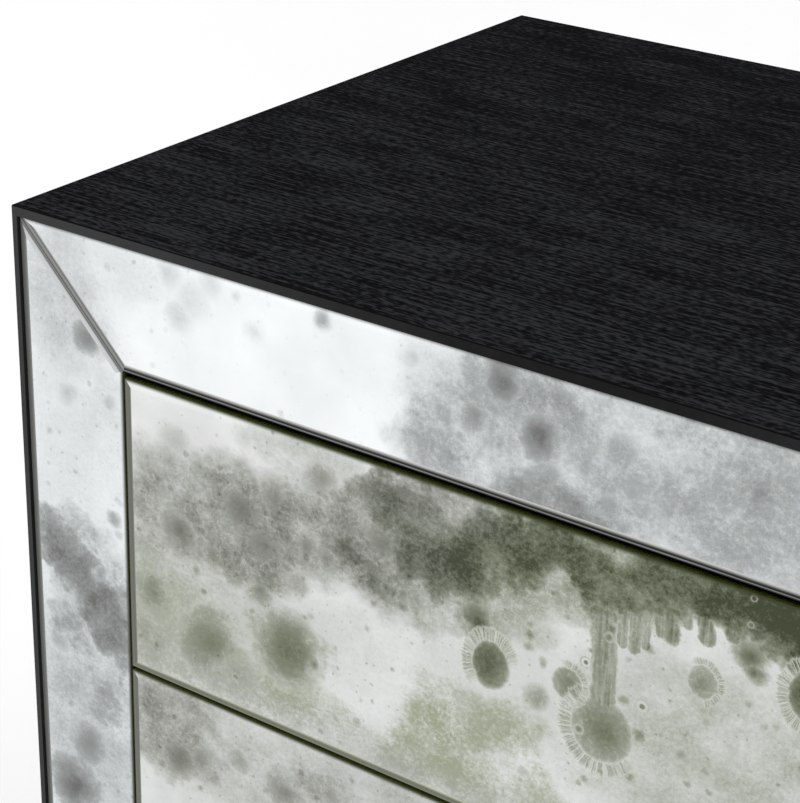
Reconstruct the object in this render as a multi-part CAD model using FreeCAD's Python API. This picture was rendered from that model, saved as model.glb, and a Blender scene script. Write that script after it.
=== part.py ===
# Mirrored nightstand: a mitred case in black oak veneer whose open front carries a border of
# bevelled antique mirror and three inset, mirror-faced drawers that open with a push.
# Millimetres. X runs to the right, Y to the back and Z up. The origin is on the floor, under
# the middle of the case, so the front edges of the case lie at Y = -case_depth / 2.
import FreeCAD
import Part
import math
import os

Vector = FreeCAD.Vector

# Overall size
case_width = 611.5
case_depth = 460.0
overall_height = 660.0

# Case panels: veneered board, mitred at the four corners
panel_thickness = 18.0
top_rim = 5.0
side_rim = 3.5
bottom_rim = 5.0
eased_edge = 0.8

# Antique mirror: border strips and drawer panes
glass_reveal = 1.5
glass_thickness = 5.0
glass_clearance = 0.3
top_border_width = 63.4
side_border_width = 62.3
mitre_gap = 0.4
bevel_width = 4.0
bevel_depth = 0.5

# Face frame behind the border
frame_thickness = 18.0
frame_setback = 1.0

# Back panel, let into a rebate and screwed
back_thickness = 6.0
back_rebate = 9.0
back_clearance = 0.5
screw_shank = 3.0
screw_head = 6.5
screw_length = 22.0
screw_clearance = 0.1
screw_spacing = 180.0
screw_end_margin = 40.0

# Plinth and glides
plinth_height = 34.0
plinth_thickness = 18.0
plinth_front_setback = 30.0
plinth_side_setback = 24.0
plinth_back_setback = 8.0
glide_margin = 1.5
glide_height = 4.0
glide_ease = 1.0
glide_inset = 26.0
glide_pin_diameter = 2.5
glide_pin_length = 12.0
glide_pin_clearance = 0.1

# Drawer fronts and the gaps round them
drawer_names = ("lower", "middle", "upper")
top_gap = 3.2
side_gap = 1.2
drawer_gap = 2.1
bottom_gap = 3.0
front_board_thickness = 18.0
front_board_setback = 1.5

# Drawer boxes
box_side_thickness = 12.0
box_back_thickness = 12.0
box_bottom_thickness = 6.0
box_groove = 5.0
box_housing = 6.0
box_fit = 0.15
box_below = 15.0
box_above = 24.0
box_bottom_rise = 10.0

# Runners: three nested steel channels with balls between their flanges
runner_height = 45.0
runner_thickness = 12.7
runner_sheet = 1.2
runner_web_gap = 0.8
runner_tip_gap = 2.2
runner_setback = 6.0
runner_rise = 60.0
ball_diameter = 2.4
ball_play = 0.25
ball_count = 6
cage_thickness = 0.8
cage_edge_gap = 1.0
cage_end_gap = 6.0
cleat_margin = 7.5

# Push latch behind each drawer
plunger_diameter = 8.0
plunger_wall = 1.0
plunger_play = 0.3
plunger_rear_gap = 4.0
tip_overhang = 2.0
tip_thickness = 4.0
tip_gap = 3.6
tip_clearance = 2.0
housing_length = 50.0
housing_wall = 5.7
housing_end_wall = 3.0
housing_ear = 13.0
housing_ear_thickness = 4.0
spring_wire = 0.6
spring_play = 0.7
spring_turns = 14
spring_end_gap = 0.3
batten_margin = 12.0
batten_thickness = 18.0

# Planes and levels that the case pieces share
half_width = case_width / 2
inner_half = half_width - panel_thickness
front_plane = -case_depth / 2
back_plane = case_depth / 2
back_face = back_plane - back_thickness
case_floor = plinth_height + panel_thickness
case_ceiling = overall_height - panel_thickness
glass_front = front_plane + glass_reveal
glass_back = glass_front + glass_thickness
frame_back = glass_back + frame_thickness
border_outer_half = half_width - side_rim - glass_clearance
border_inner_half = border_outer_half - side_border_width
border_top = overall_height - top_rim - glass_clearance
border_bottom = plinth_height + bottom_rim + glass_clearance
opening_top = border_top - top_border_width
opening_bottom = border_bottom + top_border_width
frame_inner_half = border_inner_half + frame_setback

# Latches, from the back panel forwards
plunger_bore = plunger_diameter - 2 * plunger_wall
housing_bore = plunger_diameter + 2 * plunger_play
housing_size = housing_bore + 2 * housing_wall
batten_front = back_face - batten_thickness
housing_front = batten_front - housing_length
housing_end = batten_front - housing_end_wall
tip_back = housing_front - tip_clearance
tip_front = tip_back - tip_thickness
plunger_seat = tip_back + plunger_wall

# Drawers, stacked from the bottom
drawer_gaps = drawer_gap * (len(drawer_names) - 1)
drawers_height = opening_top - opening_bottom - top_gap - bottom_gap - drawer_gaps
drawer_height = drawers_height / len(drawer_names)
drawer_half = border_inner_half - side_gap
board_back = glass_back + front_board_thickness
box_back = tip_front - tip_gap
box_half = frame_inner_half - runner_thickness
box_inner_half = box_half - box_side_thickness

# Runner sections, measured from the cleat towards the drawer and from mid-height outwards
runner_front = board_back + runner_setback
ball_race = ball_diameter + 2 * ball_play
outer_flange = runner_height / 2
middle_flange = outer_flange - runner_sheet - ball_race
inner_flange = middle_flange - runner_sheet - ball_race
middle_web = runner_sheet + runner_web_gap
inner_tip = middle_web + runner_sheet + runner_web_gap
channel_tip = runner_thickness - runner_tip_gap


def block(x0, x1, y0, y1, z0, z1):
    """Box between two opposite corners."""
    return Part.makeBox(x1 - x0, y1 - y0, z1 - z0, Vector(x0, y0, z0))


def side_block(side, near, far, y0, y1, z0, z1):
    """Box on the left (-1) or right (1), between two distances from the middle."""
    x0, x1 = sorted((side * near, side * far))
    return block(x0, x1, y0, y1, z0, z1)


def rod(diameter, y0, y1, x, z):
    """Round bar along Y."""
    return Part.makeCylinder(diameter / 2, y1 - y0, Vector(x, y0, z), Vector(0, 1, 0))


def flat_face(points):
    """Flat face inside a closed loop of points."""
    return Part.Face(Part.makePolygon(points + points[:1]))


def prism(outline, y0, y1):
    """Solid with an outline in X and Z, running from y0 to y1."""
    return flat_face([Vector(x, y0, z) for x, z in outline]).extrude(Vector(0, y1 - y0, 0))


def rectangle(half, z0, z1):
    """Anticlockwise outline, centred on X."""
    return [(-half, z0), (half, z0), (half, z1), (-half, z1)]


def inset(outline, distances):
    """Anticlockwise convex outline with each of its sides moved inwards by its own distance."""
    sides = []
    for (x0, z0), (x1, z1), distance in zip(outline, outline[1:] + outline[:1], distances):
        run = math.hypot(x1 - x0, z1 - z0)
        along = ((x1 - x0) / run, (z1 - z0) / run)
        sides.append((x0 - along[1] * distance, z0 + along[0] * distance, along))
    corners = []
    for (ax, az, a), (bx, bz, b) in zip(sides[-1:] + sides[:-1], sides):
        step = ((bx - ax) * b[1] - (bz - az) * b[0]) / (a[0] * b[1] - a[1] * b[0])
        corners.append((ax + a[0] * step, az + a[1] * step))
    return corners


def bevelled_pane(outline):
    """Glass pane with a flat bevel ground round its front face."""
    front = inset(outline, [bevel_width] * len(outline))
    rings = [[Vector(x, glass_front, z) for x, z in front]]
    for y in (glass_front + bevel_depth, glass_back):
        rings.append([Vector(x, y, z) for x, z in outline])
    faces = [flat_face(rings[0]), flat_face(rings[-1])]
    for near, far in zip(rings, rings[1:]):
        for i in range(len(outline)):
            j = (i + 1) % len(outline)
            faces.append(flat_face([near[i], near[j], far[j], far[i]]))
    pane = Part.makeSolid(Part.makeShell(faces))
    if pane.Volume < 0:
        pane.reverse()
    return pane


def save(node, *solids):
    """Writes one node, after a look at each of its solids."""
    for solid in solids:
        if not solid.isValid() or solid.Volume <= 0:
            raise ValueError(node + " has a solid that is not closed")
    shape = solids[0] if len(solids) == 1 else Part.makeCompound(list(solids))
    shape.exportStep(os.path.join("parts", node + ".step"))


# Screws through the back panel
def spread(low, high):
    """Evenly spaced places from low to high, no further apart than the screw spacing."""
    steps = max(1, math.ceil((high - low) / screw_spacing))
    return [low + (high - low) * i / steps for i in range(steps + 1)]


def back_screw_places():
    """Screws along the middle of the rebate's ledge, clear of the mitres."""
    edge = (back_rebate + panel_thickness) / 2
    across = half_width - edge
    low = plinth_height + edge
    high = overall_height - edge
    rows = spread(low + screw_end_margin, high - screw_end_margin)
    columns = spread(screw_end_margin - across, across - screw_end_margin)
    return [(x, z) for x in (-across, across) for z in rows] + [(x, z) for x in columns for z in (low, high)]


def countersunk(x, z, shank, head, length):
    """Countersunk screw, or the hole for it, with its flat head in the back plane."""
    neck = back_plane - (head - shank) / 2
    cone = Part.makeCone(shank / 2, head / 2, back_plane - neck, Vector(x, neck, z), Vector(0, 1, 0))
    return cone.fuse(rod(shank, back_plane - length, neck, x, z))


def back_screw_holes():
    """Holes with a little more room than the screws."""
    shank = screw_shank + 2 * screw_clearance
    head = screw_head + 2 * screw_clearance
    length = screw_length + screw_clearance
    return [countersunk(x, z, shank, head, length) for x, z in back_screw_places()]


# Case panels
def case_panels():
    """Four panels mitred into a ring, rebated in front for the glass and behind for the back."""
    bottom_left, bottom_right, top_right, top_left = rectangle(half_width, plinth_height, overall_height)
    floor_left, floor_right, ceiling_right, ceiling_left = rectangle(inner_half, case_floor, case_ceiling)
    outlines = {
        "top_panel": [ceiling_left, ceiling_right, top_right, top_left],
        "bottom_panel": [bottom_left, bottom_right, floor_right, floor_left],
        "left_side_panel": [bottom_left, floor_left, ceiling_left, top_left],
        "right_side_panel": [bottom_right, top_right, ceiling_right, floor_right],
    }
    outer = prism(rectangle(half_width, plinth_height, overall_height), front_plane, back_plane)
    eased = outer.makeFillet(eased_edge, outer.Edges)
    glass_rebate = block(
        side_rim - half_width, half_width - side_rim, front_plane, glass_back,
        plinth_height + bottom_rim, overall_height - top_rim,
    )
    panel_rebate = block(
        back_rebate - half_width, half_width - back_rebate, back_face, back_plane,
        plinth_height + back_rebate, overall_height - back_rebate,
    )
    cutters = [glass_rebate, panel_rebate] + back_screw_holes()
    for node, outline in outlines.items():
        panel = prism(outline, front_plane, back_plane).common(eased).cut(cutters)
        save(node, *panel.Solids)


def back_panel():
    """Thin board in the rear rebate, with its screws."""
    margin = back_rebate + back_clearance
    board = block(
        margin - half_width, half_width - margin, back_face, back_plane,
        plinth_height + margin, overall_height - margin,
    )
    save("back_panel", *board.cut(back_screw_holes()).Solids)
    screws = [countersunk(x, z, screw_shank, screw_head, screw_length) for x, z in back_screw_places()]
    save("back_panel_screws", *screws)


# Front of the case
def face_frame():
    """Rails between the sides and stiles between the rails, hidden behind the mirror border."""
    low = opening_bottom - frame_setback
    high = opening_top + frame_setback
    save("face_frame_top_rail", block(-inner_half, inner_half, glass_back, frame_back, high, case_ceiling))
    save("face_frame_bottom_rail", block(-inner_half, inner_half, glass_back, frame_back, case_floor, low))
    for name, side in (("left", -1), ("right", 1)):
        stile = side_block(side, frame_inner_half, inner_half, glass_back, frame_back, low, high)
        save(f"face_frame_{name}_stile", stile)


def mirror_border():
    """Four strips that meet in mitres with a hair of a gap."""
    outer = rectangle(border_outer_half, border_bottom, border_top)
    inner = rectangle(border_inner_half, opening_bottom, opening_top)
    for i, name in enumerate(("bottom", "right", "top", "left")):
        j = (i + 1) % len(outer)
        strip = inset([outer[i], outer[j], inner[j], inner[i]], [0, mitre_gap / 2, 0, mitre_gap / 2])
        save(f"mirror_strip_{name}", bevelled_pane(strip))


# Base
def glide_places():
    """Glides under the two ends of the front and back plinth rails."""
    across = half_width - plinth_side_setback - glide_inset
    front = front_plane + plinth_front_setback + plinth_thickness / 2
    back = back_plane - plinth_back_setback - plinth_thickness / 2
    return [(x, y) for x in (-across, across) for y in (front, back)]


def glide(x, y):
    """Round nail-on glide with an eased foot and a pin."""
    radius = plinth_thickness / 2 - glide_margin
    foot = Part.makeCone(radius - glide_ease, radius, glide_ease, Vector(x, y, 0))
    disc = Part.makeCylinder(radius, glide_height - glide_ease, Vector(x, y, glide_ease))
    pin = Part.makeCylinder(glide_pin_diameter / 2, glide_pin_length, Vector(x, y, glide_height))
    return foot.fuse([disc, pin])


def plinth():
    """Frame of four rails on glides, set in from the case all round."""
    across = half_width - plinth_side_setback
    front = front_plane + plinth_front_setback
    back = back_plane - plinth_back_setback
    low, high = glide_height, plinth_height
    hole_radius = glide_pin_diameter / 2 + glide_pin_clearance
    hole_depth = glide_pin_length + glide_pin_clearance
    holes = [Part.makeCylinder(hole_radius, hole_depth, Vector(x, y, low)) for x, y in glide_places()]
    for name, y in (("front", front), ("back", back - plinth_thickness)):
        rail = block(-across, across, y, y + plinth_thickness, low, high)
        save(f"plinth_{name}_rail", rail.cut(holes))
    for name, side in (("left", -1), ("right", 1)):
        y0, y1 = front + plinth_thickness, back - plinth_thickness
        save(f"plinth_{name}_rail", side_block(side, across - plinth_thickness, across, y0, y1, low, high))
    save("floor_glides", *[glide(x, y) for x, y in glide_places()])


# Runners
def channels(level, web, tip, flange):
    """Channel section on the left and right: its web is at one distance, its flanges end at the other."""
    inside = web + math.copysign(runner_sheet, tip - web)
    rim = flange - runner_sheet
    outline = [
        (web, -flange), (tip, -flange), (tip, -rim), (inside, -rim),
        (inside, rim), (tip, rim), (tip, flange), (web, flange),
    ]
    return [
        prism([(side * (frame_inner_half - u), level + z) for u, z in outline], runner_front, box_back)
        for side in (-1, 1)
    ]


def ball_cages(level, rise):
    """Balls in flat strips on each side, above and below the middle of the runner."""
    length = (box_back - runner_front) / 2 - 2 * cage_end_gap
    start = (box_back + runner_front - length) / 2
    step = length / ball_count
    half = (channel_tip - inner_tip) / 2 - cage_edge_gap
    across = frame_inner_half - (inner_tip + channel_tip) / 2
    pocket = ball_diameter / 2 + ball_play
    solids = []
    for x in (-across, across):
        for z in (level - rise, level + rise):
            low, high = z - cage_thickness / 2, z + cage_thickness / 2
            places = [start + step * (i + 0.5) for i in range(ball_count)]
            holes = [Part.makeCylinder(pocket, cage_thickness, Vector(x, y, low)) for y in places]
            solids.append(block(x - half, x + half, start, start + length, low, high).cut(holes))
            solids += [Part.makeSphere(ball_diameter / 2, Vector(x, y, z)) for y in places]
    return solids


def case_runners(levels):
    """Outer channels and the wooden cleats that bring them level with the face frame."""
    half = runner_height / 2 + cleat_margin
    cleats = []
    outers = []
    for level in levels:
        outers += channels(level, 0, channel_tip, outer_flange)
        for side in (-1, 1):
            low, high = level - half, level + half
            cleats.append(side_block(side, frame_inner_half, inner_half, frame_back, box_back, low, high))
    save("runner_cleats", *cleats)
    save("outer_runners", *outers)


def drawer_runners(name, level):
    """Channels that move with a drawer and the ball cages on both sides of the middle one."""
    save(f"{name}_drawer_inner_runners", *channels(level, runner_thickness, inner_tip, inner_flange))
    save(f"{name}_drawer_middle_runners", *channels(level, middle_web, channel_tip, middle_flange))
    save(f"{name}_drawer_outer_ball_cages", *ball_cages(level, middle_flange + ball_race / 2))
    save(f"{name}_drawer_inner_ball_cages", *ball_cages(level, inner_flange + ball_race / 2))


# Push latches
def latch_housing(level):
    """Square barrel, bored from the front, on a tall flange against the batten."""
    half = housing_size / 2
    ear = half + housing_ear
    barrel = block(-half, half, housing_front, batten_front, level - half, level + half)
    flange = block(
        -half, half, batten_front - housing_ear_thickness, batten_front, level - ear, level + ear
    )
    bore = rod(housing_bore, housing_front, housing_end, 0, level)
    return barrel.fuse(flange).cut(bore).removeSplitter()


def latch_plunger(level):
    """Hollow plunger with a round tip, drawn back in its housing."""
    rear = housing_end - plunger_rear_gap
    tip = rod(plunger_diameter + 2 * tip_overhang, tip_front, tip_back, 0, level)
    stem = rod(plunger_diameter, tip_back, rear, 0, level)
    return tip.fuse(stem).cut(rod(plunger_bore, plunger_seat, rear, 0, level))


def latch_spring(level):
    """Compression spring from the plunger's nose to the end wall of the housing."""
    length = housing_end - plunger_seat - 2 * spring_end_gap - spring_wire
    radius = plunger_bore / 2 - spring_play - spring_wire / 2
    helix = Part.makeHelix(length / spring_turns, length, radius)
    section = Part.Wire(Part.makeCircle(spring_wire / 2, Vector(radius, 0, 0), Vector(0, 1, 0)))
    spring = helix.makePipeShell([section], True, False)
    spring.rotate(Vector(), Vector(1, 0, 0), -90)
    spring.translate(Vector(0, plunger_seat + spring_end_gap + spring_wire / 2, level))
    return spring


def latches(levels):
    """Upright batten behind the drawers with a latch for each of them."""
    half = housing_size / 2 + batten_margin
    save("latch_batten", block(-half, half, batten_front, back_face, case_floor, case_ceiling))
    save("latch_housings", *[latch_housing(level) for level in levels])
    for name, level in zip(drawer_names, levels):
        save(f"{name}_latch_plunger", latch_plunger(level))
        save(f"{name}_latch_spring", latch_spring(level))


# Drawers
def bottom_groove(bottom, x0, x1, y0):
    """Groove for a drawer's bottom, from y0 to the back of the box."""
    low = bottom + box_below + box_bottom_rise
    return block(x0, x1, y0, box_back, low - box_fit, low + box_bottom_thickness + box_fit)


def drawer_front(name, bottom):
    """Mirror pane on a board that is housed and grooved for the box behind it."""
    top = bottom + drawer_height
    save(f"{name}_drawer_mirror", bevelled_pane(rectangle(drawer_half, bottom, top)))
    half = drawer_half - front_board_setback
    low, high = bottom + front_board_setback, top - front_board_setback
    board = block(-half, half, glass_back, board_back, low, high)
    housings = [
        side_block(
            side, box_inner_half - box_fit, box_half + box_fit, board_back - box_housing, board_back,
            bottom + box_below - box_fit, top - box_above + box_fit,
        )
        for side in (-1, 1)
    ]
    groove = bottom_groove(bottom, -box_inner_half, box_inner_half, board_back - box_groove)
    save(f"{name}_drawer_front_board", board.cut(housings + [groove]))


def drawer_box(name, bottom):
    """Grooved sides, a back that stands on the bottom, and a bottom that slides in under it."""
    low = bottom + box_below
    high = bottom + drawer_height - box_above
    shelf = low + box_bottom_rise
    front = board_back - box_housing + box_fit
    for name_of_side, side in (("left", -1), ("right", 1)):
        board = side_block(side, box_inner_half, box_half, front, box_back, low, high)
        near, far = sorted((side * box_inner_half, side * (box_inner_half + box_groove)))
        save(f"{name}_drawer_{name_of_side}_side", board.cut(bottom_groove(bottom, near, far, front)))
    half = box_inner_half
    rear = box_back - box_back_thickness
    save(f"{name}_drawer_back", block(-half, half, rear, box_back, shelf + box_bottom_thickness, high))
    half = box_inner_half + box_groove - box_fit
    front = board_back - box_groove + box_fit
    save(f"{name}_drawer_bottom", block(-half, half, front, box_back, shelf, shelf + box_bottom_thickness))


os.makedirs("parts", exist_ok=True)
drawer_step = drawer_height + drawer_gap
drawer_bottoms = [opening_bottom + bottom_gap + i * drawer_step for i in range(len(drawer_names))]
runner_levels = [bottom + runner_rise for bottom in drawer_bottoms]
case_panels()
back_panel()
face_frame()
mirror_border()
plinth()
case_runners(runner_levels)
latches(runner_levels)
for drawer_name, drawer_bottom, runner_level in zip(drawer_names, drawer_bottoms, runner_levels):
    drawer_front(drawer_name, drawer_bottom)
    drawer_box(drawer_name, drawer_bottom)
    drawer_runners(drawer_name, runner_level)
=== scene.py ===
# Mirrored nightstand: a black oak case whose front is framed and filled with bevelled antique mirror.
import math
import bpy
from mathutils import Matrix, Vector


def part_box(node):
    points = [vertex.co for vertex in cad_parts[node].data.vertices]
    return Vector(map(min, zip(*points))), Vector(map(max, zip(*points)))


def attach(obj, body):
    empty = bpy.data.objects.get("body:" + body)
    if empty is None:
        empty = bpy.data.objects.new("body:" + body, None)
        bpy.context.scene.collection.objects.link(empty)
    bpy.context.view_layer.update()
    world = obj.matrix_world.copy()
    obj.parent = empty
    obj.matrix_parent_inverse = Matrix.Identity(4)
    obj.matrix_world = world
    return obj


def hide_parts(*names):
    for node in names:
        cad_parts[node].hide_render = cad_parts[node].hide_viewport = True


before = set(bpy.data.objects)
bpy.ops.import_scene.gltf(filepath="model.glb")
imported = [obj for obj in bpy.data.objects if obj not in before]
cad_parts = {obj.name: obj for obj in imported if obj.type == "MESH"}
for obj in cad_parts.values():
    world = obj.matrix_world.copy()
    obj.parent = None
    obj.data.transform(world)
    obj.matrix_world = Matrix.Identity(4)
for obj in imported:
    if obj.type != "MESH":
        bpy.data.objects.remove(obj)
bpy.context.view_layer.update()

# Case panels
# Board veneered in oak, mitred at the corners. The oak is stained black with its pores left open, and the
# thin front edges round the mirror are lacquered dark grey.


class Shade:
    """One value in a material's nodes. Arithmetic on it adds Math nodes."""

    def __init__(self, tree, socket=None):
        self.tree = tree
        self.socket = socket

    def node(self, kind, settings=None, sockets=None, out=0):
        """Adds a node: its settings come first, then the values or links of its sockets."""
        node = self.tree.nodes.new("ShaderNode" + kind)
        for name, value in (settings or {}).items():
            if name == "stops":
                for place, _ in value[2:]:
                    node.color_ramp.elements.new(place)
                for element, (place, colour) in zip(node.color_ramp.elements, value):
                    element.position = place
                    element.color = (*colour, 1.0)
            else:
                setattr(node, name, value)
        for name, value in (sockets or {}).items():
            self.feed(node.inputs[name], value)
        return Shade(self.tree, node.outputs[out])

    def feed(self, target, value):
        """Links a value to a socket, or sets a plain number or colour on it."""
        if isinstance(value, Shade):
            self.tree.links.new(value.socket, target)
        else:
            target.default_value = value

    def math(self, operation, first, second=0.0):
        return self.node("Math", {"operation": operation}, {0: first, 1: second})

    def __add__(self, other):
        return self.math("ADD", self, other)

    def __radd__(self, other):
        return self.math("ADD", other, self)

    def __sub__(self, other):
        return self.math("SUBTRACT", self, other)

    def __rsub__(self, other):
        return self.math("SUBTRACT", other, self)

    def __mul__(self, other):
        return self.math("MULTIPLY", self, other)

    def __rmul__(self, other):
        return self.math("MULTIPLY", other, self)

    def __rtruediv__(self, other):
        return self.math("DIVIDE", other, self)

    def __abs__(self):
        return self.math("ABSOLUTE", self)

    def __or__(self, other):
        """The larger of two values."""
        return self.math("MAXIMUM", self, other)

    def line(self, slope, start):
        """This value times a slope, plus a start."""
        return self.node("Math", {"operation": "MULTIPLY_ADD"}, {0: self, 1: slope, 2: start})

    def smooth(self, low, high, top=1.0):
        """Eases from 0 at low to top at high, which may be the smaller of the two."""
        sockets = {"Value": self, "From Min": low, "From Max": high, "To Max": top}
        return self.node("MapRange", {"interpolation_type": "SMOOTHSTEP", "clamp": False}, sockets)

    def split(self, kind="SeparateXYZ"):
        """The three parts of a vector, or of a colour."""
        parts = self.node(kind, sockets={0: self}).socket.node.outputs
        return [Shade(self.tree, part) for part in parts]

    def join(self, x, y, z):
        return self.node("CombineXYZ", sockets={0: x, 1: y, 2: z})

    def noise(self, place, size, detail=2.0, roughness=0.5):
        """Noise whose features are about as large as size, in the units of place."""
        sockets = {"Vector": place, "Scale": 1 / size, "Detail": detail, "Roughness": roughness}
        return self.node("TexNoise", sockets=sockets)

    def ramp(self, *stops):
        return self.node("ValToRGB", {"stops": stops}, {0: self})

    def mix(self, first, second):
        """Mixes two colours, with this value as the share of the second."""
        return self.node("Mix", {"data_type": "RGBA"}, {0: self, 6: first, 7: second}, out=2)

    def bump(self, height, strength):
        """Normal for a relief, with this value as its height in units of height."""
        return self.node("Bump", sockets={"Height": self, "Distance": height, "Strength": strength})


def new_finish(name):
    """A material and its place on the piece, in millimetres."""
    finish = bpy.data.materials.new(name)
    finish.use_nodes = True
    shade = Shade(finish.node_tree)
    metres = shade.node("TexCoord", out="Object")
    sockets = {0: metres, 1: (1000.0, 1000.0, 1000.0)}
    return finish, shade.node("VectorMath", {"operation": "MULTIPLY"}, sockets)


def surface(finish, sockets):
    """Sets or links the sockets of a material's shader."""
    shader = finish.node_tree.nodes["Principled BSDF"]
    for name, value in sockets.items():
        Shade(finish.node_tree).feed(shader.inputs[name], value)


def dress(node, *finishes, choose=None):
    """Gives a piece its finishes. choose picks one for each face from its normal and centre."""
    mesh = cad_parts[node].data
    mesh.materials.clear()
    for finish in finishes:
        mesh.materials.append(finish)
    for face in mesh.polygons:
        face.material_index = choose(face.normal, face.center) if choose else 0


def black_oak(name, grain):
    """Open-pored oak stained black: long lines and short pores along the grain; painted shade deepens across
    it.
    """
    sway_length, sway = 160.0, 4.0
    painted_shade_per_mm, painted_shade_at_middle = 0.00014, 0.02
    finish, place = new_finish(name)
    x, y, z = place.split()
    along, across, depth = {"top": (x, y, z), "side": (z, y, x), "front": (x, z, y), "end": (y, z, x)}[grain]
    across = across + (place.noise(place, sway_length, 2.0) - 0.5) * sway

    def drawn_out(length, width, detail, roughness):
        """Noise drawn out along the grain."""
        stretched = place.join(along * (1 / length), across * (1 / width), depth * 0.05)
        return place.noise(stretched, 1.0, detail, roughness)

    streak = drawn_out(50.0, 1.6, 1.0, 0.5)
    pore = drawn_out(4.5, 1.7, 1.0, 0.5)
    figure = drawn_out(70.0, 30.0, 3.0, 0.55)
    # Painted shade: darker further across the grain, towards the back on the top and sides and upward on the
    # plinth.
    stain_and_shade = across.line(painted_shade_per_mm, painted_shade_at_middle)
    tone = (streak * 0.5 + pore * 0.5 + (figure - 0.5) * 0.2 - stain_and_shade).smooth(0.38, 0.62)
    colour = tone.ramp((0.0, (0.0036, 0.0037, 0.0041)), (0.5, (0.0098, 0.0102, 0.0112)),
                       (1.0, (0.0265, 0.0276, 0.0295)))
    surface(finish, {
        "Base Color": colour,
        "Roughness": 0.62 + 0.2 * (1 - pore),
        "Specular IOR Level": 0.003,
        "Normal": (streak * 0.6 + pore * 0.4).bump(0.0004, 0.3),
    })
    return finish


def rim_lacquer():
    """Dark grey lacquer with a faint orange-peel relief, with painted light making it paler towards the
    corners of the case.
    """
    finish, place = new_finish("rim_lacquer")
    x = place.split()[0]
    mottle = place.noise(place, 9.0, 4.0)
    corner = 1000 * case_high.x
    # Painted light: paler towards the corners of the case, plus random mottle.
    corner_light_and_mottle = abs(x).smooth(0.0, corner) + (mottle - 0.5) * 0.3
    surface(finish, {
        "Base Color": corner_light_and_mottle.ramp((0.0, (0.0050, 0.0052, 0.0053)), (1.0, (0.0370, 0.0380, 0.0385))),
        "Roughness": 0.30 + 0.16 * mottle,
        "Specular IOR Level": 0.08,
        "Normal": place.noise(place, 1.6).bump(0.00005, 0.3),
    })
    return finish


def black_paint(name, tone, roughness, shine=0.2):
    """Thin matt paint on board, a little uneven."""
    finish, place = new_finish(name)
    cloud = place.noise(place, 14.0, 5.0, 0.6)
    dark, light = (0.7 * tone,) * 3, (1.3 * tone,) * 3
    surface(finish, {
        "Base Color": cloud.ramp((0.3, dark), (0.7, light)),
        "Roughness": roughness + 0.15 * (cloud - 0.5),
        "Specular IOR Level": shine,
        "Normal": place.noise(place, 0.8, 3.0).bump(0.00008, 0.4),
    })
    return finish


case_low, case_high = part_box("left_side_panel")[0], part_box("right_side_panel")[1]
case_skin = 0.001
oak_across = black_oak("black_oak_across", "top")
oak_upright = black_oak("black_oak_upright", "side")
lacquer = rim_lacquer()
case_paint = black_paint("case_paint", 0.010, 0.6)
# The eased arrises of the front edges get near-black paint as a painted shadow line.
arris_painted_shadow = black_paint("arris_painted_shadow", 0.0035, 0.7, 0.02)


def case_face(normal, centre):
    """Veneer outside, lacquer on the front edges, a black painted shadow on their arrises and paint on what
    is let in.
    """
    if normal.y < -0.2 and centre.y < case_low.y + case_skin:
        return 1 if normal.y < -0.9 else 3
    outside = (
        centre.x < case_low.x + case_skin or centre.x > case_high.x - case_skin
        or centre.z < case_low.z + case_skin or centre.z > case_high.z - case_skin
    )
    return 0 if outside else 2


dress("top_panel", oak_across, lacquer, case_paint, arris_painted_shadow, choose=case_face)
dress("bottom_panel", oak_across, lacquer, case_paint, arris_painted_shadow, choose=case_face)
dress("left_side_panel", oak_upright, lacquer, case_paint, arris_painted_shadow, choose=case_face)
dress("right_side_panel", oak_upright, lacquer, case_paint, arris_painted_shadow, choose=case_face)

# Back panel
# Thin board faced in black, lying in a rebate behind the case. Countersunk cross-head screws hold it
# all round.


def board_back():
    """Black-faced board with the fine pebble of a pressed foil, faintly rubbed in cloudy upright strokes."""
    finish, place = new_finish("back_board")
    x, _, z = place.split()
    pebble = place.noise(place, 0.9, 3.0, 0.6)
    cloud = place.noise(place.join(x * 0.025, 0.0, z * 0.006), 1.0, 5.0, 0.6)
    dark, light = (0.0105, 0.0105, 0.0107), (0.0270, 0.0262, 0.0255)
    surface(finish, {
        "Base Color": (pebble * 0.4 + cloud * 0.6).ramp((0.38, dark), (0.62, light)),
        "Roughness": 0.5 + 0.2 * cloud,
        "Specular IOR Level": 0.3,
        "Normal": pebble.bump(0.0001, 0.5),
    })
    return finish


def plated_steel(name, colour, roughness, worn):
    """Plated steel, clouded and finely scratched along Y."""
    finish, place = new_finish(name)
    x, y, z = place.split()
    scratch = place.noise(place.join(x * 2.5, y * 0.03, z * 2.5), 1.0, 4.0, 0.7)
    cloud = place.noise(place, 16.0, 5.0, 0.6)
    dull = tuple(worn * part for part in colour)
    surface(finish, {
        "Base Color": (scratch * 0.5 + cloud * 0.5).ramp((0.3, dull), (0.7, colour)),
        "Metallic": 1.0,
        "Roughness": roughness + 0.3 * (scratch - 0.5),
        "Normal": scratch.bump(0.00003, 0.3),
    })
    return finish


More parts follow.
